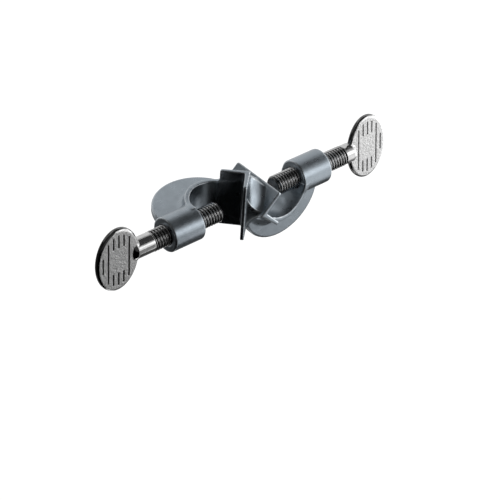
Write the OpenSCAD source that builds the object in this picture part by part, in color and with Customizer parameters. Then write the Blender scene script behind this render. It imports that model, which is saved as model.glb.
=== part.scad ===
// Boss head clamp: one casting with two V jaws at right angles, back to back,
// and a thumb screw in each jaw's threaded boss. Millimetres.
//
// X is the axis of both screws. The upright jaw holds a rod along Z and opens
// to -X. The cross jaw holds a rod along Y and opens to +X. The origin is the
// root of the upright jaw's V, on the screw axis.

/* [Jaws] */
// Length of each V plate along its rod
jaw_len = 24.5; // [20:0.5:34]
// Depth of the V, from its root to its free edges
jaw_depth = 6.4; // [4.5:0.1:7]
// Half of the angle between the walls of the V, in degrees
jaw_half_angle = 46; // [45:1:56]
// Thickness of a wall at its free edge
wall_edge = 1.5; // [1:0.1:2.4]
// Thickness of a wall at the root of the V
wall_root = 2.1; // [1.6:0.1:3]
// Radius of the corners of a V plate
corner_r = 0.8; // [0.4:0.1:3]
// Distance between the roots of the two V jaws
root_gap = 1.8; // [1.2:0.1:5]
// Radius of the ball of metal where the jaws cross
core_r = 5; // [3:0.1:6.5]

/* [Arms] */
// Radius of the mouth inside each C arm
mouth_r = 9.8; // [9:0.1:13]
// Distance from a jaw's root to the centre of its mouth
mouth_reach = 13.3; // [12:0.1:17]
// Width of the flange around the mouth, along the rod
flange_w = 14; // [10:0.1:18]
// Thickness of that flange
flange_t = 2; // [1.4:0.1:4]
// Radius of the web outside the flange
web_r = 18; // [16:0.1:22]
// Distance from a jaw's root to the centre of the web's edge
web_reach = 16.4; // [15:0.1:19]
// Distance of that centre from the screw axis
web_drop = 5.4; // [3:0.1:8]
// Thickness of the web
web_t = 4; // [2.5:0.1:8]

/* [Bosses] */
// Diameter of each threaded boss
boss_d = 13.6; // [12:0.1:18]
// Length of each boss along the screw
boss_len = 13.9; // [9:0.1:18]
// Rounding of the boss's ends
boss_round = 0.8; // [0.4:0.1:2]

/* [Thumb screws] */
// Diameter over the crests of the thread
thread_d = 8; // [6:0.1:9]
// Depth of the thread, from crest to root
thread_depth = 0.68; // [0.4:0.02:1]
// Diameter of the smooth shank
shank_d = 7.7; // [5.5:0.1:8]
// Radial clearance of a screw in its boss
screw_clearance = 0.05; // [0.02:0.01:0.1]
// Distance from the upright jaw's root to its screw's tip, as drawn
upright_tip_reach = 12.3; // [8:0.1:20]
// Distance from the cross jaw's root to its screw's tip, as drawn
cross_tip_reach = 12.9; // [8:0.1:20]
// Length of thread on the upright jaw's screw
upright_thread_len = 31.3; // [25:0.1:33]
// Length of thread on the cross jaw's screw
cross_thread_len = 34.9; // [25:0.1:36]
// Distance from a screw's tip to the middle of its thumb plate
plate_reach = 47.2; // [46:0.1:60]
// Width of the thumb plate, along the screw
plate_w = 18.6; // [14:0.1:20]
// Height of the thumb plate, across the screw
plate_h = 27; // [20:0.1:32]
// Thickness of the thumb plate
plate_t = 2.3; // [1.8:0.1:4]
// Length of shank that laps over the thumb plate
shank_lap = 2.8; // [1:0.1:5]
// How far the upright screw's plate lies in front of its axis
upright_plate_offset = 1; // [-1:0.1:1]
// How far the cross screw's plate lies in front of its axis
cross_plate_offset = 0.4; // [-1:0.1:1]
// Turn of the upright jaw's screw about its axis, in degrees
upright_turn = -1; // [-90:1:90]
// Turn of the cross jaw's screw about its axis, in degrees
cross_turn = 7; // [-90:1:90]

/* [Grip lines] */
// Width of a sunk line on the thumb plate
line_w = 0.6; // [0.3:0.05:1]
// Depth of a sunk line
line_depth = 0.3; // [0.1:0.05:0.5]
// Distance between neighbouring lines
line_pitch = 2.3; // [1.6:0.1:2.6]

/* [Hidden] */
$fn = 96;
overlap = 1;
plate_round = 0.8;
round_steps = 4;
jaw_half = jaw_depth * tan(jaw_half_angle);
boss_start = mouth_reach + mouth_r;
bore_d = thread_d + 2 * screw_clearance;
tip_chamfer = thread_depth;
shank_end = plate_reach - plate_w / 2 + shank_lap;
shank_round = shank_d / 4;
line_span = 0.82;
short_line_in = 0.4;
wall_clear = 3;
clear_x = jaw_depth + wall_clear * sin(jaw_half_angle);
clear_y = jaw_half - wall_clear * cos(jaw_half_angle);
casting_grey = [0.45, 0.48, 0.52];
plated_steel = [0.78, 0.78, 0.76];

// Points along a quarter turn of radius r about a centre, from a start angle
function quarter(centre, r, start) =
    [for (i = [0 : round_steps])
        centre + r * [cos(start + 90 * i / round_steps), sin(start + 90 * i / round_steps)]];

// A rectangle about the origin with rounded corners
module rounded_rect(w, h, r) {
    x = w / 2 - r;
    y = h / 2 - r;
    polygon(concat(quarter([x, y], r, 0), quarter([-x, y], r, 90),
                   quarter([-x, -y], r, 180), quarter([x, -y], r, 270)));
}

// Section of a V plate: its walls grow thicker towards the root
module v_section() {
    out_x = wall_edge * sin(jaw_half_angle) - jaw_depth;
    out_y = wall_edge * cos(jaw_half_angle) + jaw_half;
    polygon([[0, 0], [-jaw_depth, jaw_half], [out_x, out_y],
             [wall_root / sin(jaw_half_angle), 0],
             [out_x, -out_y], [-jaw_depth, -jaw_half]]);
}

module v_plate() {
    across = 2 * (jaw_half + wall_edge * cos(jaw_half_angle));
    intersection() {
        linear_extrude(jaw_len, center = true) v_section();
        rotate([90, 0, 90])
            linear_extrude(4 * jaw_depth, center = true)
                rounded_rect(across, jaw_len, corner_r);
    }
}

// The half of the plane on the arm's side of the screw axis
module arm_side() {
    reach = 4 * web_r;
    translate([-reach / 2, 0]) square([reach, reach]);
}

// T section arm: a flange round the mouth, with a web standing out from it
module arm() {
    linear_extrude(flange_w, center = true)
        intersection() {
            translate([-mouth_reach, 0])
                difference() {
                    circle(r = mouth_r + flange_t);
                    circle(r = mouth_r);
                }
            arm_side();
        }
    linear_extrude(web_t, center = true)
        intersection() {
            difference() {
                translate([-web_reach, web_drop]) circle(r = web_r);
                translate([-mouth_reach, 0]) circle(r = mouth_r);
            }
            arm_side();
        }
}

// Threaded boss, its ends rounded all round
module boss() {
    r = boss_d / 2;
    translate([-boss_start, 0, 0])
        rotate([0, -90, 0])
            rotate_extrude()
                polygon(concat([[0, 0]],
                               quarter([r - boss_round, boss_round], boss_round, -90),
                               quarter([r - boss_round, boss_len - boss_round], boss_round, 0),
                               [[0, boss_len]]));
}

// One jaw as cast, in the upright jaw's place
module jaw() {
    v_plate();
    arm();
    boss();
}

// What is open in one jaw: the V's groove, with the space that a rod needs
// straight over each wall, and the bore of the boss
module jaw_openings() {
    linear_extrude(2 * jaw_len, center = true)
        polygon([[0, 0], [-jaw_depth, jaw_half], [-clear_x, clear_y],
                 [-clear_x, -clear_y], [-jaw_depth, -jaw_half]]);
    translate([-boss_start - boss_len - overlap, 0, 0])
        rotate([0, 90, 0])
            cylinder(d = bore_d, h = boss_len + flange_t + 2 * overlap);
}

// Carries a shape from the upright jaw's place to the cross jaw's
module to_cross_jaw() {
    translate([root_gap, 0, 0]) rotate([90, 0, 0]) rotate([0, 0, 180]) children();
}

module boss_head_casting() {
    color(casting_grey)
        difference() {
            union() {
                jaw();
                to_cross_jaw() jaw();
                translate([root_gap / 2, 0, 0]) sphere(r = core_r);
            }
            jaw_openings();
            to_cross_jaw() jaw_openings();
        }
}

// Outline of the thumb plate, drawn in by an inset all round
module plate_outline(inset) {
    a = plate_w / 2 - inset;
    b = plate_h / 2 - inset;
    polygon([for (i = [0 : 5 : 355]) [a * cos(i), b * sin(i)]]);
}

// Oval thumb plate with a rounded rim, flat in the XZ plane
module plate_blank() {
    hull()
        for (i = [0 : round_steps]) {
            turn = 90 * i / round_steps;
            thick = plate_t - 2 * plate_round * (1 - sin(turn));
            rotate([90, 0, 0])
                linear_extrude(thick, center = true)
                    plate_outline(plate_round * (1 - cos(turn)));
        }
}

// One sunk line: x is its place, z0 and z1 are its ends
module sunk_line(x, z0, z1) {
    translate([x - line_w / 2, -line_depth, z0])
        cube([line_w, line_depth + overlap, z1 - z0]);
}

// The lines on one face, which lies at y = 0. Three in the middle leave the
// centre bare, one to each side runs the whole height, and the last is short.
module grip_lines() {
    b = plate_h / 2;
    a = plate_w / 2;
    for (i = [-1 : 1]) {
        x = i * line_pitch;
        top = line_span * b * sqrt(1 - pow(x / (line_span * a), 2));
        sunk_line(x, short_line_in * b, top);
        sunk_line(x, -top, -short_line_in * b);
    }
    for (i = [-2, 2]) {
        x = i * line_pitch;
        top = line_span * b * sqrt(1 - pow(x / (line_span * a), 2));
        sunk_line(x, -top, top);
    }
    end_line = b * 0.26;
    sunk_line(-3 * line_pitch, -end_line, end_line);
}

module thumb_plate() {
    difference() {
        plate_blank();
        for (turn = [0, 180])
            rotate([turn, 0, 0]) translate([0, plate_t / 2, 0]) grip_lines();
    }
}

// Thread, shank and its rounded end, turned about the screw axis from the tip
module screw_body(thread_len) {
    r = thread_d / 2;
    s = shank_d / 2;
    rotate([0, -90, 0])
        rotate_extrude()
            polygon(concat([[0, 0], [r - tip_chamfer, 0], [r, tip_chamfer],
                            [r, thread_len], [s, thread_len]],
                           quarter([s - shank_round, shank_end - shank_round], shank_round, 0),
                           [[0, shank_end]]));
}

// Forged thumb screw with its tip at the origin, its plate towards -X. The
// plate lies a little to one side of the axis, by plate_y along Y.
module thumb_screw(thread_len, turn, plate_y) {
    color(plated_steel) {
        screw_body(thread_len);
        rotate([turn, 0, 0]) translate([-plate_reach, plate_y, 0]) thumb_plate();
    }
}

module upright_jaw_screw() {
    translate([-upright_tip_reach, 0, 0])
        thumb_screw(upright_thread_len, upright_turn, -upright_plate_offset);
}

module cross_jaw_screw() {
    translate([root_gap + cross_tip_reach, 0, 0])
        rotate([0, 0, 180])
            thumb_screw(cross_thread_len, cross_turn, cross_plate_offset);
}

boss_head_casting();
upright_jaw_screw();
cross_jaw_screw();
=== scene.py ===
"""Looks of the boss head clamp: an enamelled casting and two plated thumb screws.

Sizes are in millimetres, as in the CAD, and become metres when a mesh is made.
X is the axis of both screws. The upright jaw opens to -X and its arm is on +Y.
The cross jaw is the same shape turned over: it opens to +X and its arm is on -Z.
"""

import math

import bmesh
import bpy
import numpy as np
from mathutils import Matrix, Vector


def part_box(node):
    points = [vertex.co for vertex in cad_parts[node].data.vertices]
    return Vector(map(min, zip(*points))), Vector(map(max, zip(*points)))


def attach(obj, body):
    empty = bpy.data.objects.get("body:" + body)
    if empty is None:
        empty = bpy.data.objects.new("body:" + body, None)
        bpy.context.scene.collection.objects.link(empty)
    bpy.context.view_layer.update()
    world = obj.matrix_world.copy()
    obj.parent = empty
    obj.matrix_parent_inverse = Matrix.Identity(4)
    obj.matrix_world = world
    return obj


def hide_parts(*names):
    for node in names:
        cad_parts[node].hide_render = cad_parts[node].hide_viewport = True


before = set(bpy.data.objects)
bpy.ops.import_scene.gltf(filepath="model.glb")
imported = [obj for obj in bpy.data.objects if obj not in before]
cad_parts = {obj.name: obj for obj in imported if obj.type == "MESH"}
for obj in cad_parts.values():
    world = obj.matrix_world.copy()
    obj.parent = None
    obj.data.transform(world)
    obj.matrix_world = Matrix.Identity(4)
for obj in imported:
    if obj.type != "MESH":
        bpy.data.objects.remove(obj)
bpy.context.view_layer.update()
MM = 0.001

# Jaws
JAW_LEN = 24.5
JAW_DEPTH = 6.4
HALF_ANGLE = math.radians(46)
WALL_EDGE = 1.5
WALL_ROOT = 2.1
CORNER_R = 0.8
ROOT_GAP = 1.8
CORE_R = 5.0
# Arms
MOUTH_R = 9.8
MOUTH_REACH = 13.3
FLANGE_W = 14.0
FLANGE_T = 2.0
WEB_R = 18.0
WEB_REACH = 16.4
WEB_DROP = 5.4
WEB_T = 4.0
# Bosses
BOSS_D = 13.6
BOSS_LEN = 13.9
BORE_D = 8.1
# Thumb screws
THREAD_D = 8.0
THREAD_DEPTH = 0.68
THREAD_PITCH = 1.25
TIP_R = 3.3
SHANK_D = 7.7
SHANK_ROUND = 2.0
PLATE_REACH = 47.2
PLATE_W = 18.6
PLATE_H = 27.0
PLATE_T = 2.3
PLATE_ROUND = 0.9
SHANK_LAP = 2.8
SHANK_END = PLATE_REACH - PLATE_W / 2 + SHANK_LAP
# Sunk lines, with their ends as shares of the thumb plate's half width or height
LINE_W = 0.6
LINE_DEPTH = 0.3
LINE_PITCH = 2.3
LINE_SPAN = 0.82
BROKEN_LINE_START = 0.4
SHORT_LINE_END = 0.26

# What the visual model adds to the CAD's shapes, from here on: first the
# gusset between the V plates, whose fillet shrinks towards their free edges
PLATE_FILLET = 6.5
FREE_EDGE_FILLET = 0.8
FREE_EDGE_RUN = 1.4
GUSSET_RISE = 1.25
GUSSET_POWER = 1.5
# How far the ball of metal at the crossing swells, and its fillet
CORE_SWELL = 1.2
CORE_FILLET = 3.5
# The web grows thinner outwards. Its fillet grows wider towards the jaw, from a
# start measured from the middle of the mouth and over a run
WEB_DRAFT = 0.04
WEB_FILLET = 3.4
WEB_FILLET_GROWTH = 1.2
WEB_FILLET_START = -4
WEB_FILLET_RUN = 9
# The flange grows narrower towards the boss, by this much on each side
FLANGE_TAPER = 0.5
FLANGE_TAPER_START = 4
FLANGE_TAPER_RUN = 5
# Radii of the casting's other fillets and rounded edges
ROOT_FILLET = 1.6
BOSS_FILLET = 1.0
BOSS_ROUND = 0.6
BORE_ROUND = 0.5
RIM_ROUND = 0.8
FLANGE_ROUND = 0.5
EDGE_ROUND = 0.4
GROOVE_ROUND = 0.6
# Radii of the forging's fillets and rounded edges
LAP_FILLET = 0.7
SHANK_STEP_ROUND = 0.2
LINE_CORNER_R = 0.25
LINE_EDGE_ROUND = 0.08
# Profile of the thread in turns
CREST_FLAT = 0.07
FLANK_RUN = 0.30
# How far the thread runs on past its length and in how many turns it fades out,
# how deep its faded end lies in the shank, and how far past its length the
# shank starts
THREAD_RUNOUT = 0.7
FADE_TURNS = 0.9
FADE_SUNK = 0.05
SHANK_GAP = 0.1
# How dark each part is made, from 0 to 1: the rim by painted dark reflection, the
# tip by tarnish, and the thread's roots by painted shade and grease
RIM_DARK_REFLECTION = 0.8
TIP_TARNISH = 0.75
ROOT_SHADE_AND_GREASE = 0.96

# Grids that the solids are meshed on: their steps, how far they go past the
# solids, and how far to each side of its axis a screw's grid goes
CASTING_STEP = 0.33
FORGING_STEP = 0.16
CASTING_MARGIN = 2
FORGING_MARGIN = 1
FORGING_DEPTH = 5


# ---------------------------------------------------------------- distances


def ramp(value, start, run):
    """0 up to a start, and from there growing evenly to 1 over a run."""
    return np.clip((value - start) / run, 0, 1)


def joined(a, b, fillet):
    """Distance to two shapes together, with a hollow fillet where they meet."""
    gap = np.hypot(np.maximum(fillet - a, 0), np.maximum(fillet - b, 0))
    return np.maximum(fillet, np.minimum(a, b)) - gap


def gusseted(a, b, reach_a, reach_b):
    """Distance to two shapes together, with a flat-faced gusset where they meet."""
    u = np.maximum(1 - a / reach_a, 0)
    v = np.maximum(1 - b / reach_b, 0)
    scale = (reach_a * u + reach_b * v) / np.maximum(u + v, 1e-9)
    gusset = scale * (1 - (u**GUSSET_POWER + v**GUSSET_POWER) ** (1 / GUSSET_POWER))
    return np.where((u > 0) & (v > 0), gusset, np.minimum(a, b))


def shared(a, b, rounding):
    """Distance to what two shapes share, with its new edges rounded over."""
    gap = np.hypot(np.maximum(rounding + a, 0), np.maximum(rounding + b, 0))
    return np.minimum(-rounding, np.maximum(a, b)) + gap


def cut(a, b, rounding):
    """Distance to shape a with shape b taken away."""
    return shared(a, -b, rounding)


# ------------------------------------------------------------------ casting


def v_plate(x, y, z):
    """The two walls of an upright V, with the groove still filled."""
    sin, cos = math.sin(HALF_ANGLE), math.cos(HALF_ANGLE)
    side = np.abs(y)
    half = JAW_DEPTH * math.tan(HALF_ANGLE)
    ridge_x = WALL_ROOT / sin
    run = (ridge_x + JAW_DEPTH - WALL_EDGE * sin, half + WALL_EDGE * cos)
    length = math.hypot(*run)
    outer = ((x - ridge_x) * run[1] + side * run[0]) / length
    outline = shared(free_edge(x, y, z), np.abs(z) - JAW_LEN / 2, CORNER_R)
    inner = -(x * sin + side * cos)
    return shared(np.maximum(outer, inner), outline, EDGE_ROUND)


def free_edge(x, y, z):
    """How far a point lies beyond the free edges of an upright V."""
    sin, cos = math.sin(HALF_ANGLE), math.cos(HALF_ANGLE)
    return -x * cos + np.abs(y) * sin - JAW_DEPTH / cos


def groove(x, y, z):
    """What is open between the walls of an upright V."""
    sin, cos = math.sin(HALF_ANGLE), math.cos(HALF_ANGLE)
    side = np.hypot(y, GROOVE_ROUND)
    inner = x * sin + side * cos
    past_edge = 0.1
    edge = -x * cos + side * sin - JAW_DEPTH / cos - EDGE_ROUND - past_edge
    return np.maximum(inner, edge)


def arm(x, y, z):
    """Flange round the mouth and the web that stands out from it."""
    from_middle = x + MOUTH_REACH
    mouth = np.hypot(from_middle, y) - MOUTH_R
    radial = np.abs(mouth - FLANGE_T / 2) - FLANGE_T / 2
    narrower = ramp(-from_middle, FLANGE_TAPER_START, FLANGE_TAPER_RUN) * FLANGE_TAPER
    flange = shared(radial, np.abs(z) - FLANGE_W / 2 + narrower, FLANGE_ROUND)
    outline = np.hypot(x + WEB_REACH, y - WEB_DROP) - WEB_R
    thinner = WEB_DRAFT * np.maximum(mouth - FLANGE_T, 0)
    web = shared(outline, np.abs(z) - WEB_T / 2 + thinner, RIM_ROUND)
    web = np.maximum(web, FLANGE_T / 2 - mouth)
    towards_jaw = ramp(from_middle, WEB_FILLET_START, WEB_FILLET_RUN)
    both = joined(flange, web, WEB_FILLET + WEB_FILLET_GROWTH * towards_jaw)
    return np.maximum(np.maximum(both, -mouth), -y)


def boss(x, y, z):
    """Threaded boss, still solid."""
    middle = MOUTH_REACH + MOUTH_R + BOSS_LEN / 2
    ends = np.abs(x + middle) - BOSS_LEN / 2
    return shared(np.hypot(y, z) - BOSS_D / 2, ends, BOSS_ROUND)


def bore(x, y, z):
    """The hole through a boss and the flange behind it."""
    inside_mouth = 2
    start = MOUTH_REACH + MOUTH_R - inside_mouth
    return np.maximum(np.hypot(y, z) - BORE_D / 2, x + start)


def turned_over(shape):
    """The same shape in the cross jaw's place."""
    return lambda x, y, z: shape(ROOT_GAP - x, -z, -y)


def casting(x, y, z):
    """The whole casting, with both jaws, arms and bosses and their bores."""
    beyond = np.maximum(free_edge(x, y, z), turned_over(free_edge)(x, y, z))
    within = ramp(-beyond, 0, FREE_EDGE_RUN)
    fillet = FREE_EDGE_FILLET + (PLATE_FILLET - FREE_EDGE_FILLET) * within
    upright, cross = v_plate(x, y, z), turned_over(v_plate)(x, y, z)
    plates = gusseted(upright, cross, fillet, GUSSET_RISE * fillet)
    core = np.sqrt((x - ROOT_GAP / 2) ** 2 + y * y + z * z) - CORE_R
    body = joined(plates, core - CORE_SWELL, CORE_FILLET)
    for place in (lambda s: s, turned_over):
        limb = joined(place(arm)(x, y, z), place(boss)(x, y, z), BOSS_FILLET)
        body = joined(body, limb, ROOT_FILLET)
    for place in (lambda s: s, turned_over):
        body = cut(body, place(groove)(x, y, z), EDGE_ROUND)
        body = cut(body, place(bore)(x, y, z), BORE_ROUND)
    return body


# ------------------------------------------------------------------ forging


def thumb_forging(plate_y, turn, thread_len):
    """Shank and oval plate of a screw whose tip is the origin, towards -X."""
    shank_start = thread_len + SHANK_GAP
    lines = plate_lines()

    def distance(x, y, z):
        c, s = math.cos(turn), math.sin(turn)
        across, up = c * y + s * z, c * z - s * y
        across = across - plate_y
        along = x + PLATE_REACH
        a, b = PLATE_W / 2, PLATE_H / 2
        k = np.hypot(along / a, up / b)
        slope = np.hypot(along / a**2, up / b**2) + 1e-6
        oval = (k - 1) * k / slope
        plate = shared(oval, np.abs(across) - PLATE_T / 2, PLATE_ROUND)
        for line, low, high in lines:
            wide = np.abs(along - line) - LINE_W / 2
            tall = np.abs(np.abs(up) - (low + high) / 2) - (high - low) / 2
            deep = PLATE_T / 2 - LINE_DEPTH - np.abs(across)
            sunk = np.maximum(shared(wide, tall, LINE_CORNER_R), deep)
            plate = cut(plate, sunk, LINE_EDGE_ROUND)
        round_bar = np.hypot(y, z) - SHANK_D / 2
        shank = shared(round_bar, -x - SHANK_END, SHANK_ROUND)
        shank = shared(shank, x + shank_start, SHANK_STEP_ROUND)
        return joined(plate, shank, LAP_FILLET)

    return distance


def on_plate(points, plate_y, turn):
    """Where points lie on the thumb plate: how far from its middle plane, and
    how far out from its centre, as a share of the way to its rim."""
    x, y, z = points.T
    c, s = math.cos(turn), math.sin(turn)
    across, up = c * y + s * z - plate_y, c * z - s * y
    oval = np.hypot((x + PLATE_REACH) / PLATE_W, up / PLATE_H) * 2
    return np.abs(across), oval


def off_shank(points):
    """0 on the shank, growing to 1 a little way from it."""
    x, y, z = points.T
    shank = shared(np.hypot(y, z) - SHANK_D / 2, -x - SHANK_END, SHANK_ROUND)
    return ramp(shank, 0.2, 0.5)


def sunk_line_shade(points, plate_y, turn):
    """How deep in a sunk line each point of a forging lies, from 0 to 1, for the
    painted shade that darkens the sunk lines.
    """
    x, y, z = points.T
    across, oval = on_plate(points, plate_y, turn)
    deep = ramp(PLATE_T / 2 - across, 0.04, LINE_DEPTH - 0.08)
    on_shank = (np.hypot(y, z) < SHANK_D / 2 + 0.6) & (x > -SHANK_END - 0.3)
    return np.where((oval < 0.9) & ~on_shank, deep, 0)


def rim_painted_reflection(points, plate_y, turn):
    """Painted dark reflection on the rim of the thumb plate, at the rim's set strength,
    fading out towards its faces.
    """
    across, oval = on_plate(points, plate_y, turn)
    outside = ramp(oval, 0.965, 0.02)
    between = ramp(PLATE_T / 2 - across, 0.1, 0.3)
    return RIM_DARK_REFLECTION * outside * between * off_shank(points)


def face_grain(points, plate_y, turn):
    """1 on the flat faces of the thumb plate, 0 on its rim and the shank."""
    across, oval = on_plate(points, plate_y, turn)
    on_face = ramp(across - PLATE_T / 2, -0.5, 0.3)
    inside = ramp(-oval, -0.96, 0.05)
    return on_face * inside * off_shank(points)


def plate_lines():
    """Place of each sunk line, and where it runs above and below the middle."""
    a, b = PLATE_W / 2 * LINE_SPAN, PLATE_H / 2 * LINE_SPAN
    lines = []
    for i in (-2, -1, 0, 1, 2):
        x = i * LINE_PITCH
        top = b * math.sqrt(1 - (x / a) ** 2)
        low = -top if abs(i) == 2 else BROKEN_LINE_START * PLATE_H / 2
        lines.append((x, low, top))
    short = SHORT_LINE_END * PLATE_H / 2
    lines.append((-3 * LINE_PITCH, -short, short))
    return lines


# ------------------------------------------------------------------- meshes


def surface_net(distance, low, high, step):
    """Points and quads of the surface where distance(x, y, z) is zero."""
    axes = [np.arange(a, b + step, step) for a, b in zip(low, high)]
    field = distance(*np.meshgrid(*axes, indexing="ij")).astype(np.float32)
    inside = field < 0
    corners = [(i, j, k) for i in (0, 1) for j in (0, 1) for k in (0, 1)]
    size = [n - 1 for n in inside.shape]

    def shifted(grid, offset):
        return grid[tuple(slice(o, o + n) for o, n in zip(offset, size))]

    count = sum(shifted(inside, c).astype(np.int8) for c in corners)
    active = (count > 0) & (count < 8)
    cells = np.argwhere(active)
    index = np.full(active.shape, -1, np.int64)
    index[active] = np.arange(len(cells))
    total = np.zeros((len(cells), 3))
    hits = np.zeros(len(cells))
    for a in corners:
        for axis in range(3):
            if a[axis]:
                continue
            b = tuple(v + (n == axis) for n, v in enumerate(a))
            fa = field[tuple((cells + a).T)]
            fb = field[tuple((cells + b).T)]
            crossed = (fa < 0) != (fb < 0)
            share = fa[crossed] / (fa[crossed] - fb[crossed])
            total[crossed] += np.array(a) + share[:, None] * (np.array(b) - a)
            hits[crossed] += 1
    points = np.array(low) + (cells + total / hits[:, None]) * step
    quads = [ring_quads(inside, index, axis) for axis in range(3)]
    return points, np.concatenate(quads)


def ring_quads(inside, index, axis):
    """A quad round each grid edge along one axis that crosses the surface."""
    lower = [slice(None)] * 3
    upper = [slice(None)] * 3
    lower[axis], upper[axis] = slice(0, -1), slice(1, None)
    first, second = inside[tuple(lower)], inside[tuple(upper)]
    edges = np.argwhere(first != second)
    leaving = first[tuple(edges.T)]
    one, two = np.zeros(3, int), np.zeros(3, int)
    one[(axis + 1) % 3] = 1
    two[(axis + 2) % 3] = 1
    ring = [edges - one - two, edges - two, edges, edges - one]
    quads = np.stack([index[tuple(r.T)] for r in ring], axis=1)
    quads[~leaving] = quads[~leaving][:, ::-1]
    return quads


def settled(points, distance):
    """Points moved straight onto the true surface, in three rounds."""
    nudge = 0.02
    least_slope = 0.5
    for _ in range(3):
        here = distance(*points.T)
        slope = np.stack(
            [
                (distance(*(points + d).T) - distance(*(points - d).T)) / (2 * nudge)
                for d in np.eye(3) * nudge
            ],
            axis=1,
        )
        steep = np.maximum((slope**2).sum(axis=1), least_slope**2)
        points = points - slope * (here / steep)[:, None]
    return points


def mesh_object(name, points, faces):
    """A smooth-shaded object from points in millimetres."""
    mesh = bpy.data.meshes.new(name)
    mesh.from_pydata((np.asarray(points) * MM).tolist(), [], np.asarray(faces).tolist())
    mesh.polygons.foreach_set("use_smooth", [True] * len(mesh.polygons))
    mesh.update()
    piece = bpy.data.objects.new(name, mesh)
    bpy.context.scene.collection.objects.link(piece)
    return piece


def solid_piece(name, distance, low, high, step):
    """The solid where distance(x, y, z) is below zero, as an object."""
    points, quads = surface_net(distance, low, high, step)
    return mesh_object(name, settled(points, distance), quads)


def thread_radius(turns):
    """Radius of the thread's surface, with turns counted from a crest."""
    part = np.abs((turns + 0.5) % 1 - 0.5)
    flank = ramp(part, CREST_FLAT, FLANK_RUN)
    return THREAD_D / 2 - THREAD_DEPTH * flank


def thread_piece(name, length):
    """Right-hand thread from the tip, at the origin, towards -X."""
    around = 72
    # Where the rows of points lie in each turn
    rows = [0.0, 0.07, 0.17, 0.27, 0.37, 0.5, 0.63, 0.73, 0.83, 0.93]
    core_r = SHANK_D / 2 - FADE_SUNK
    first, last = -2, math.ceil(length / THREAD_PITCH) + 3
    start = np.array([n + r for n in range(first, last) for r in rows])
    angle = np.arange(around) / around
    turns = start[:, None] + angle[None, :]
    along = turns * THREAD_PITCH
    radius = np.broadcast_to(thread_radius(start)[:, None], along.shape)
    end = length + THREAD_RUNOUT
    fade = ramp(end - along, 0, FADE_TURNS * THREAD_PITCH)
    radius = core_r + (radius - core_r) * fade
    radius = np.minimum(radius, TIP_R + np.maximum(along, 0))
    theta = 2 * math.pi * angle[None, :]
    points = np.stack(
        [-along, radius * np.sin(theta), radius * np.cos(theta)], axis=-1
    )
    grid = np.arange(points.shape[0] * around).reshape(-1, around)
    right = np.concatenate([grid[:, 1:], np.roll(grid[:, :1], -len(rows), 0)], axis=1)
    keep = slice(0, len(start) - len(rows) - 1)
    quads = np.stack(
        [grid[keep], right[keep], right[1:][keep], grid[1:][keep]], axis=-1
    )
    piece = mesh_object(name, points.reshape(-1, 3), quads.reshape(-1, 4))
    bm = bmesh.new()
    bm.from_mesh(piece.data)
    for place, outward in ((0, 1), (-end * MM, -1)):
        everything = bm.verts[:] + bm.edges[:] + bm.faces[:]
        bmesh.ops.bisect_plane(
            bm,
            geom=everything,
            dist=1e-7,
            plane_co=(place, 0, 0),
            plane_no=(outward, 0, 0),
            clear_outer=True,
        )
    loose = [v for v in bm.verts if not v.link_faces]
    bmesh.ops.delete(bm, geom=loose, context="VERTS")
    open_edges = [e for e in bm.edges if e.is_boundary]
    ends = bmesh.ops.holes_fill(bm, edges=open_edges, sides=0)["faces"]
    for face in ends:
        face.smooth = False
    bmesh.ops.recalc_face_normals(bm, faces=bm.faces)
    bm.to_mesh(piece.data)
    bm.free()
    return piece


def thread_shade_and_tarnish(points, length):
    """How dark the thread's roots are, with painted shade and grease, and how tarnished
    the tip is, at each point, from 0 to 1.
    """
    x, y, z = points.T
    # Painted shade, together with grease, in the thread's roots
    deep = ramp(THREAD_D / 2 - np.hypot(y, z), 0.12, 0.6 * THREAD_DEPTH)
    tip = ramp(x, -0.9, 0.4)
    shade_and_tarnish = np.maximum(deep * ROOT_SHADE_AND_GREASE, tip * TIP_TARNISH)
    return np.where(-x < length, shade_and_tarnish, 0)


def paint(mesh, name, values):
    """Keeps a number for each vertex, for the material to read."""
    layer = mesh.attributes.new(name, "FLOAT", "POINT")
    layer.data.foreach_set("value", np.asarray(values, dtype=np.float32))


def edges_and_hollows(points, distance):
    """1 on a sharp edge, -1 in a tight hollow and 0 where the surface is flat."""
    reach = 0.45
    most = 2
    around = [points + reach * d for n in np.eye(3) for d in (n, -n)]
    total = sum(distance(*p.T) for p in around) - 6 * distance(*points.T)
    return np.clip(total / reach**2 / most, -1, 1)


def mesh_points(mesh):
    """A mesh's points in millimetres."""
    flat = np.empty(3 * len(mesh.vertices))
    mesh.vertices.foreach_get("co", flat)
    return flat.reshape(-1, 3) / MM


def thumb_screw(name, thread_len, plate_y, turn, line_shade_strength):
    """A whole screw with its tip at the origin."""
    distance = thumb_forging(plate_y, turn, thread_len)
    tall = PLATE_H / 2 + FORGING_MARGIN
    low = (-PLATE_REACH - PLATE_W / 2 - FORGING_MARGIN, -FORGING_DEPTH, -tall)
    high = (-thread_len + FORGING_MARGIN, FORGING_DEPTH, tall)
    forging = solid_piece(name, distance, low, high, FORGING_STEP)
    points = mesh_points(forging.data)
    # Painted shade in the sunk lines, and on the rim a painted dark reflection
    shade_and_tarnish = line_shade_strength * sunk_line_shade(points, plate_y, turn)
    paint(forging.data, "shade_and_tarnish", np.maximum(shade_and_tarnish, rim_painted_reflection(points, plate_y, turn)))
    paint(forging.data, "grain", face_grain(points, plate_y, turn))
    thread = thread_piece(name + "_thread", thread_len)
    paint(thread.data, "shade_and_tarnish", thread_shade_and_tarnish(mesh_points(thread.data), thread_len))
    paint(thread.data, "grain", np.zeros(len(thread.data.vertices)))
    with bpy.context.temp_override(
        active_object=forging,
        selected_editable_objects=[forging, thread],
        object=forging,
        selected_objects=[forging, thread],
    ):
        bpy.ops.object.join()
    return forging


# ------------------------------------------------------------------- camera

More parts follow.
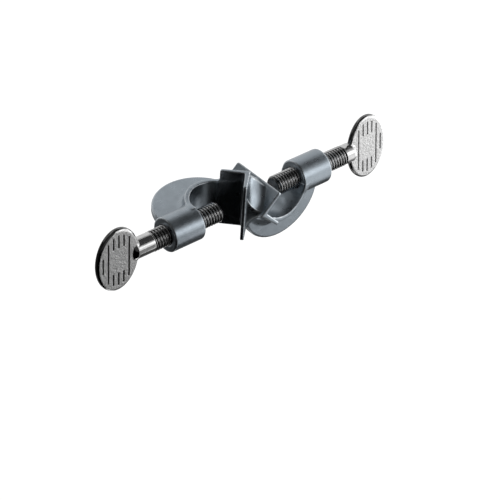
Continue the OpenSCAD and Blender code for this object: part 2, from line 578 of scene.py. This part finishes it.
# Angles of the view, and in millimetres how far off the camera is and how far
# it is moved to the right and down
VIEW_AZIMUTH = math.radians(42.45)
VIEW_ELEVATION = math.radians(37.76)
VIEW_ROLL = math.radians(4.04)
VIEW_DISTANCE = 719.58
VIEW_RIGHT = 2.63
VIEW_BELOW = 18.68
SENSOR = 36.0
LENS = 138.69


def add_camera():
    """Camera at the photograph's angle, which also frames the clamp as there."""
    sin_a, cos_a = math.sin(VIEW_AZIMUTH), math.cos(VIEW_AZIMUTH)
    sin_e, cos_e = math.sin(VIEW_ELEVATION), math.cos(VIEW_ELEVATION)
    forward = Vector((sin_a * cos_e, cos_a * cos_e, -sin_e))
    level = Vector((cos_a, -sin_a, 0))
    above = level.cross(forward)
    right = level * math.cos(VIEW_ROLL) + above * math.sin(VIEW_ROLL)
    up = above * math.cos(VIEW_ROLL) - level * math.sin(VIEW_ROLL)
    place = (right * VIEW_RIGHT - up * VIEW_BELOW - forward * VIEW_DISTANCE) * MM
    data = bpy.data.cameras.new("camera")
    data.sensor_width = SENSOR
    data.lens = LENS
    data.clip_start = 0.01
    camera = bpy.data.objects.new("camera", data)
    turn = Matrix((right, up, -forward)).transposed().to_4x4()
    camera.matrix_world = Matrix.Translation(place) @ turn
    bpy.context.scene.collection.objects.link(camera)
    bpy.context.scene.camera = camera


# ---------------------------------------------------------------- materials

ENAMEL_DARK = (0.33, 0.375, 0.415, 1)
ENAMEL_LIGHT = (0.375, 0.425, 0.47, 1)
ENAMEL_WORN = (0.62, 0.66, 0.69, 1)
# Colour of the painted shade in the casting's tight hollows
ENAMEL_HOLLOW_SHADE = (0.10, 0.12, 0.13, 1)
STEEL_DARK = (0.58, 0.58, 0.58, 1)
STEEL_LIGHT = (0.75, 0.75, 0.75, 1)
STEEL_GRAINED = (0.80, 0.80, 0.80, 1)
# Colour of the painted shade and painted dark reflection on the screws, and of their
# tarnish and grease
STEEL_SHADE_AND_TARNISH = (0.02, 0.02, 0.022, 1)


def new_material(name):
    """A material, its nodes and links, and its shader."""
    material = bpy.data.materials.new(name)
    material.use_nodes = True
    nodes = material.node_tree.nodes
    return material, nodes, material.node_tree.links, nodes["Principled BSDF"]


def add_noise(nodes, links, place, scale, detail, roughness=0.5):
    """Noise from 0 to 1 that is mostly between 0.3 and 0.7."""
    noise = nodes.new("ShaderNodeTexNoise")
    noise.inputs["Scale"].default_value = scale
    noise.inputs["Detail"].default_value = detail
    noise.inputs["Roughness"].default_value = roughness
    links.new(place, noise.inputs["Vector"])
    return noise.outputs["Fac"]


def add_range(nodes, links, value, low, high, to_low, to_high):
    """A value that runs from low to high, made to run from to_low to to_high."""
    node = nodes.new("ShaderNodeMapRange")
    for socket, number in zip(node.inputs[1:5], (low, high, to_low, to_high)):
        socket.default_value = number
    links.new(value, node.inputs[0])
    return node.outputs[0]


def add_spread(nodes, links, noise, to_low, to_high):
    """Noise whose usual range is made to run from to_low to to_high."""
    return add_range(nodes, links, noise, 0.3, 0.7, to_low, to_high)


def add_product(nodes, links, first, second):
    """Product of two values, each of them a socket."""
    node = nodes.new("ShaderNodeMath")
    node.operation = "MULTIPLY"
    links.new(first, node.inputs[0])
    links.new(second, node.inputs[1])
    return node.outputs[0]


def add_painted(nodes, name):
    """The number that paint() kept under a name."""
    node = nodes.new("ShaderNodeAttribute")
    node.attribute_name = name
    return node.outputs["Fac"]


def add_mix(nodes, links, factor, first, second):
    """Mix of two colours; each is a colour or a socket."""
    node = nodes.new("ShaderNodeMix")
    node.data_type = "RGBA"
    for socket, colour in ((node.inputs[6], first), (node.inputs[7], second)):
        if isinstance(colour, tuple):
            socket.default_value = colour
        else:
            links.new(colour, socket)
    links.new(factor, node.inputs[0])
    return node.outputs[2]


def add_bump(nodes, links, height, depth, strength, below=None):
    """Bump of a depth in millimetres, on top of the bump below it."""
    bump = nodes.new("ShaderNodeBump")
    bump.inputs["Distance"].default_value = depth * MM
    bump.inputs["Strength"].default_value = strength
    links.new(height, bump.inputs["Height"])
    if below is not None:
        links.new(below, bump.inputs["Normal"])
    return bump.outputs[0]


def enamel():
    """Glossy blue-grey metallic enamel over a slightly uneven casting, with painted
    shade in its tight hollows.
    """
    material, nodes, links, shader = new_material("casting_enamel")
    place = nodes.new("ShaderNodeTexCoord").outputs["Object"]
    tone = add_noise(nodes, links, place, scale=160, detail=3)
    tone = add_spread(nodes, links, tone, 0, 1)
    colour = add_mix(nodes, links, tone, ENAMEL_DARK, ENAMEL_LIGHT)
    edge = add_painted(nodes, "edge")
    speck = add_noise(nodes, links, place, scale=900, detail=4, roughness=0.6)
    speck = add_range(nodes, links, speck, 0.35, 0.65, 0.2, 1)
    sharp = add_range(nodes, links, edge, 0.25, 0.9, 0, 1)
    worn = add_product(nodes, links, sharp, speck)
    colour = add_mix(nodes, links, worn, colour, ENAMEL_WORN)
    # Painted shade: tight hollows and creases are darkened towards the dark hollow
    # colour
    hollow = add_range(nodes, links, edge, -0.1, -0.7, 0, 0.55)
    colour = add_mix(nodes, links, hollow, colour, ENAMEL_HOLLOW_SHADE)
    links.new(colour, shader.inputs["Base Color"])
    shader.inputs["Metallic"].default_value = 0.94
    sheen = add_noise(nodes, links, place, scale=420, detail=3)
    sheen = add_spread(nodes, links, sheen, 0.26, 0.36)
    links.new(sheen, shader.inputs["Roughness"])
    swell = add_noise(nodes, links, place, scale=130, detail=1)
    swell = add_bump(nodes, links, swell, depth=0.2, strength=0.4)
    peel = add_noise(nodes, links, place, scale=900, detail=2)
    peel = add_bump(nodes, links, peel, depth=0.04, strength=0.6, below=swell)
    links.new(peel, shader.inputs["Normal"])
    shader.inputs["Coat Weight"].default_value = 0.15
    shader.inputs["Coat Roughness"].default_value = 0.12
    return material


def plated_steel():
    """Bright plating, coarse on the thumb plates' faces. Painted shade darkens the
    sunk lines and, with grease, the thread roots; a painted dark reflection darkens
    the rims; the tips are tarnished."""
    material, nodes, links, shader = new_material("plated_steel")
    place = nodes.new("ShaderNodeTexCoord").outputs["Object"]
    tone = add_noise(nodes, links, place, scale=500, detail=4, roughness=0.6)
    tone = add_spread(nodes, links, tone, 0, 1)
    colour = add_mix(nodes, links, tone, STEEL_DARK, STEEL_LIGHT)
    grain = add_painted(nodes, "grain")
    colour = add_mix(nodes, links, grain, colour, STEEL_GRAINED)
    shade_and_tarnish = add_painted(nodes, "shade_and_tarnish")
    patchy = add_noise(nodes, links, place, scale=700, detail=2)
    patchy = add_spread(nodes, links, patchy, 0.85, 1)
    patchy_shade_and_tarnish = add_product(nodes, links, shade_and_tarnish, patchy)
    # Painted shade and a painted dark reflection, together with real tarnish and
    # grease, darken the plating here
    colour = add_mix(nodes, links, patchy_shade_and_tarnish, colour, STEEL_SHADE_AND_TARNISH)
    links.new(colour, shader.inputs["Base Color"])
    shader.inputs["Metallic"].default_value = 1
    patches = add_noise(nodes, links, place, scale=900, detail=3, roughness=0.6)
    smooth = add_spread(nodes, links, patches, 0.07, 0.13)
    coarse = add_spread(nodes, links, patches, 0.48, 0.66)
    rough = nodes.new("ShaderNodeMix")
    links.new(grain, rough.inputs[0])
    links.new(smooth, rough.inputs[2])
    links.new(coarse, rough.inputs[3])
    links.new(rough.outputs[0], shader.inputs["Roughness"])
    pits = add_noise(nodes, links, place, scale=1200, detail=3, roughness=0.65)
    grained = add_range(nodes, links, grain, 0, 1, 0.05, 1)
    pits = add_product(nodes, links, pits, grained)
    pits = add_bump(nodes, links, pits, depth=0.34, strength=1.0)
    links.new(pits, shader.inputs["Normal"])
    return material


# -------------------------------------------------------------------- build


# Each screw: length of thread, place of the plate to one side of the axis, turn
# about the axis, and how strongly painted shade darkens the plate's sunk lines
UPRIGHT_SCREW = (31.3, -1.0, math.radians(-1), 1.0)
CROSS_SCREW = (34.9, 0.4, math.radians(7), 0.6)


def build():
    """The casting and both thumb screws, each in its CAD node's place."""
    low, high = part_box("boss_head_casting")
    low = [v / MM - CASTING_MARGIN for v in low]
    high = [v / MM + CASTING_MARGIN for v in high]
    body = solid_piece("cast_body", casting, low, high, CASTING_STEP)
    paint(body.data, "edge", edges_and_hollows(mesh_points(body.data), casting))
    body.data.materials.append(enamel())
    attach(body, "casting")
    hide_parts("boss_head_casting")

    steel = plated_steel()
    upright = thumb_screw("upright_thumb_screw", *UPRIGHT_SCREW)
    upright.location = (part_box("upright_jaw_screw")[1].x, 0, 0)
    cross = thumb_screw("cross_thumb_screw", *CROSS_SCREW)
    cross.location = (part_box("cross_jaw_screw")[0].x, 0, 0)
    cross.rotation_euler = (0, 0, math.pi)
    for piece, side in ((upright, "upright"), (cross, "cross")):
        piece.data.materials.append(steel)
        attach(piece, side + "_screw")
        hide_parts(side + "_jaw_screw")


# ------------------------------------------------------------------- studio

# In metres
FLOOR_Z = -0.32
FLOOR_HALF = 2.5
TENT_RADIUS = 0.3
LAMP_DISTANCE = 0.29

# The floor's and the studio's own grey, how bright the floor's white is, and
# how much of it the camera sees
STUDIO_GREY = (0.9, 0.9, 0.9, 1)
FLOOR_GLOW = 1.15
FLOOR_GLOW_SHARE = 0.85

# Panels of the light tent: azimuth from +X towards +Y and elevation, in
# degrees, and how bright the panel is, where the open white studio is 1
PANELS = {
    "flag_front": (-180, -92, -80, 2, 0.0),
    "flag_front_high": (-180, -86, 2, 44, 0.05),
    "flag_front_right": (-92, -62, -80, 0, 0.28),
    "sheet_floor_right": (-62, -30, -44, -32, 0.82),
    "sheet_floor_side": (-30, 20, -44, -32, 0.35),
    "flag_floor_right": (-62, 20, -80, -44, 0.06),
    "flag_floor_back": (20, 118, -80, -32, 0.18),
    "sheet_back": (15, 100, -32, 44, 0.78),
    "sheet_back_left": (100, 118, -32, 28, 0.78),
    "sheet_over_back": (15, 95, 44, 56, 0.42),
    "sheet_over_left": (95, 150, 44, 56, 0.7),
    "sheet_over_front": (-70, 0, 35, 44, 0.45),
    "flag_over_front": (150, 375, 44, 56, 0.05),
    "flag_over": (-180, 180, 56, 90, 0.05),
    "flag_left": (118, 130, -80, 18, 0.3),
    "flag_left_middle": (118, 130, 18, 28, 0.1),
    "flag_left_high": (100, 130, 28, 44, 0.1),
    "sheet_left": (130, 150, 18, 44, 0.36),
    "flag_far_left": (130, 150, -80, 18, 0.03),
    "flag_farther_left": (150, 180, -80, 44, 0.03),
}

# Area lamps: azimuth and elevation in degrees, width and height in metres, and
# how bright they are, where the open white studio is 1
SOFTBOXES = {
    "key": (-50, 19, 0.17, 0.11, 0.9),
    "fill": (-2, -6, 0.26, 0.20, 1.3),
}


def bare_material(name):
    """A material with no nodes yet, its nodes and its links."""
    material = bpy.data.materials.new(name)
    material.use_nodes = True
    nodes, links = material.node_tree.nodes, material.node_tree.links
    nodes.clear()
    return material, nodes, links


def emitter(name, strength):
    """A plain white glow."""
    material, nodes, links = bare_material(name)
    glow = nodes.new("ShaderNodeEmission")
    glow.inputs["Strength"].default_value = strength
    output = nodes.new("ShaderNodeOutputMaterial")
    links.new(glow.outputs[0], output.inputs["Surface"])
    return material


def direction(azimuth, elevation):
    """The way out from the object at two angles in degrees."""
    az, el = math.radians(azimuth), math.radians(elevation)
    return math.cos(el) * math.cos(az), math.cos(el) * math.sin(az), math.sin(el)


def add_panel(name, az_low, az_high, el_low, el_high, strength):
    """Part of a sphere round the object that its metal can mirror."""
    columns, rows = 24, 12
    points = []
    for row in range(rows + 1):
        elevation = el_low + (el_high - el_low) * row / rows
        for column in range(columns + 1):
            azimuth = az_low + (az_high - az_low) * column / columns
            points.append(direction(azimuth, elevation))
    grid = np.arange(len(points)).reshape(rows + 1, columns + 1)
    quads = np.stack(
        [grid[:-1, :-1], grid[:-1, 1:], grid[1:, 1:], grid[1:, :-1]], axis=-1
    ).reshape(-1, 4)
    panel = mesh_object(name, np.array(points) * TENT_RADIUS / MM, quads)
    panel.data.materials.append(emitter(name, strength))
    panel.visible_camera = False


def lit_for_eye(nodes, links):
    """1 for what the camera, a mirror or glass sees, 0 for other light."""
    path = nodes.new("ShaderNodeLightPath")
    total = path.outputs["Is Camera Ray"]
    for kind in ("Is Glossy Ray", "Is Transmission Ray"):
        plus = nodes.new("ShaderNodeMath")
        plus.operation = "ADD"
        plus.use_clamp = True
        links.new(total, plus.inputs[0])
        links.new(path.outputs[kind], plus.inputs[1])
        total = plus.outputs[0]
    return total


def add_floor():
    """Pale floor that takes shadows and looks white."""
    half = FLOOR_HALF / MM
    corners = [(-half, -half), (half, -half), (half, half), (-half, half)]
    points = [(x, y, FLOOR_Z / MM) for x, y in corners]
    floor = mesh_object("floor", points, [(0, 1, 2, 3)])
    material, nodes, links = bare_material("floor")
    matt = nodes.new("ShaderNodeBsdfDiffuse")
    matt.inputs["Color"].default_value = STUDIO_GREY
    white = nodes.new("ShaderNodeEmission")
    white.inputs["Strength"].default_value = FLOOR_GLOW
    both = nodes.new("ShaderNodeMixShader")
    share = nodes.new("ShaderNodeMath")
    share.operation = "MULTIPLY"
    share.inputs[1].default_value = FLOOR_GLOW_SHARE
    links.new(lit_for_eye(nodes, links), share.inputs[0])
    links.new(share.outputs[0], both.inputs[0])
    links.new(matt.outputs[0], both.inputs[1])
    links.new(white.outputs[0], both.inputs[2])
    output = nodes.new("ShaderNodeOutputMaterial")
    links.new(both.outputs[0], output.inputs["Surface"])
    floor.data.materials.append(material)


def add_world():
    """Open studio, plain white to the eye and in mirrors."""
    world = bpy.data.worlds.new("studio")
    bpy.context.scene.world = world
    world.use_nodes = True
    nodes, links = world.node_tree.nodes, world.node_tree.links
    sky = nodes["Background"]
    mix = nodes.new("ShaderNodeMix")
    mix.data_type = "RGBA"
    mix.inputs[6].default_value = STUDIO_GREY
    mix.inputs[7].default_value = (1, 1, 1, 1)
    links.new(lit_for_eye(nodes, links), mix.inputs[0])
    links.new(mix.outputs[2], sky.inputs["Color"])


def add_softbox(name, azimuth, elevation, width, height, brightness):
    """Area lamp that faces the object."""
    place = Vector(direction(azimuth, elevation))
    data = bpy.data.lights.new(name, "AREA")
    data.shape = "RECTANGLE"
    data.size, data.size_y = width, height
    data.energy = brightness * math.pi * width * height
    lamp = bpy.data.objects.new(name, data)
    lamp.location = place * LAMP_DISTANCE
    lamp.rotation_euler = place.to_track_quat("Z", "Y").to_euler()
    bpy.context.scene.collection.objects.link(lamp)


def add_studio():
    add_world()
    add_floor()
    for name, panel in PANELS.items():
        add_panel(name, *panel)
    for name, softbox in SOFTBOXES.items():
        add_softbox(name, *softbox)
    bpy.context.scene.view_settings.view_transform = "Standard"


build()
add_camera()
add_studio()
